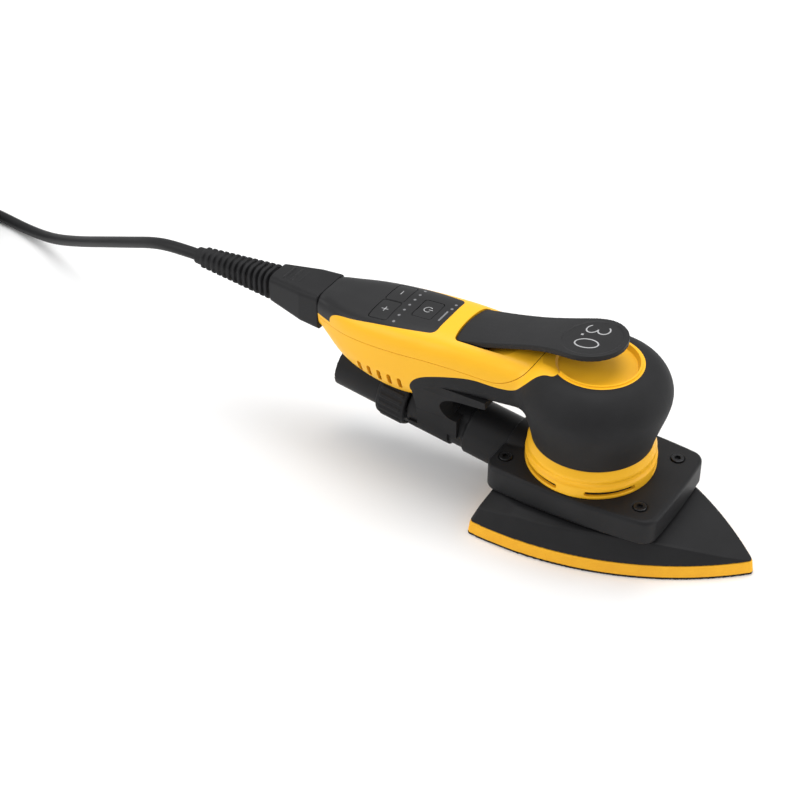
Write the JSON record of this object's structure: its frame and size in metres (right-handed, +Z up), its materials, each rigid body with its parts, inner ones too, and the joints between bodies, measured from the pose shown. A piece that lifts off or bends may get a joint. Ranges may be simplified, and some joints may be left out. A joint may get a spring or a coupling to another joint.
{
  "type": "detail sander",
  "caption": "Delta-shaped electric detail sander with a slim handle, press lever, keypad, dust hose socket and a coiled mains lead.",
  "frame": {"origin": "motor axis on the pad's sanding face", "axes": "+Z up out of the pad, +X towards the pad's pointed tip, +Y to the left of the handle seen from behind"},
  "size_m": [0.6737, 0.2072, 0.116],
  "materials": {
    "abrasive": "gritty",
    "pad_foam": "closed-cell foam",
    "black_plastic": "fine grain",
    "keypad_plastic": "satin",
    "lever_plastic": "soft grain",
    "yellow_plastic": "satin",
    "black_rubber": "matte",
    "cord_rubber": "matte",
    "light_lens": "clear dark",
    "circuit_board": "solder mask",
    "bearing_steel": "ground",
    "black_steel": "black oxide",
    "aluminium_case": "cast",
    "copper_wire": "enamelled",
    "brass_pins": "turned",
    "plug_metal": "nickel plated"
  },
  "bodies": {
    "housing": {"shroud": "black_plastic", "shroud_screws": "black_steel", "flexible_legs": "black_rubber", "vent_ring": "yellow_plastic", "upper_cover": "yellow_plastic", "lower_housing": "yellow_plastic", "rubber_grip": "black_rubber", "dust_duct": "black_plastic", "lever_pin": "bearing_steel", "lever_spring": "bearing_steel", "keypad_cover": "keypad_plastic", "level_lights": "light_lens", "status_lights": "light_lens", "keypad_board": "circuit_board", "keypad_switches": "keypad_plastic", "control_board": "circuit_board", "power_capacitors": "aluminium_case", "power_modules": "keypad_plastic", "heat_sink": "aluminium_case", "lever_sensor": "keypad_plastic", "inlet_socket": "black_plastic", "inlet_pins": "brass_pins", "lower_bearing": "bearing_steel", "upper_bearing": "bearing_steel", "motor_mount": "aluminium_case", "motor_can": "bearing_steel", "bearing_bracket": "aluminium_case", "stator_core": "black_steel", "stator_windings": "copper_wire", "lead_connector": "black_plastic", "strain_relief": "black_rubber", "lead_cord": "cord_rubber", "lead_tail": "cord_rubber", "lead_coil": "cord_rubber", "coil_tie": "black_rubber", "plug_body": "black_rubber", "plug_pins": "plug_metal"},
    "rotor": {"motor_shaft": "bearing_steel", "eccentric_hub": "bearing_steel", "spindle_bolt": "black_steel", "counterweight": "black_steel", "cooling_fan": "black_plastic", "rotor_magnets": "black_steel"},
    "pad": {"abrasive_sheet": "abrasive", "foam_layer": "pad_foam", "platen": "black_plastic", "orbit_bearing": "bearing_steel", "bearing_clip": "bearing_steel"},
    "lever": {"lever": "lever_plastic", "lever_magnet": "bearing_steel"},
    "minus_key": {"minus_button": "keypad_plastic"},
    "plus_key": {"plus_button": "keypad_plastic"},
    "power_key": {"power_button": "keypad_plastic"},
    "collar": {"locking_collar": "black_rubber"},
    "socket": {"hose_socket": "black_plastic"}
  },
  "joints": [
    {"name": "rotor_spin", "type": "hinge", "parent": "housing", "child": "rotor", "pos_m": [0, 0, 0], "axis": [0, 0, 1], "continuous": true},
    {"name": "pad_orbit", "type": "hinge", "parent": "rotor", "child": "pad", "pos_m": [0.0015, 0, 0], "axis": [0, 0, 1], "continuous": true},
    {"name": "lever_press", "type": "hinge", "parent": "housing", "child": "lever", "pos_m": [-0.064, 0, 0.0905], "axis": [0, 1, 0], "range_deg": [0, 8], "stiffness_Nm_per_rad": 0.6, "springref_deg": -6.88, "deforming": ["lever_spring"]},
    {"name": "minus_press", "type": "slide", "parent": "housing", "child": "minus_key", "axis": [0, 0, -1], "range_m": [0, 0.0006], "stiffness_N_per_m": 400, "springref_m": -0.0006},
    {"name": "plus_press", "type": "slide", "parent": "housing", "child": "plus_key", "axis": [0, 0, -1], "range_m": [0, 0.0006], "stiffness_N_per_m": 400, "springref_m": -0.0006},
    {"name": "power_press", "type": "slide", "parent": "housing", "child": "power_key", "axis": [0, 0, -1], "range_m": [0, 0.0006], "stiffness_N_per_m": 400, "springref_m": -0.0006},
    {"name": "collar_turn", "type": "hinge", "parent": "housing", "child": "collar", "pos_m": [-0.115, 0, 0.03675], "axis": [-0.9889, 0, 0.1483], "range_deg": [0, 30]},
    {"name": "socket_swivel", "type": "hinge", "parent": "housing", "child": "socket", "pos_m": [-0.13, 0, 0.039], "axis": [-0.9889, 0, 0.1483], "continuous": true}
  ],
  "couplings": [
    {"joint": "pad_orbit", "follows": "rotor_spin", "ratio": -1}
  ]
}
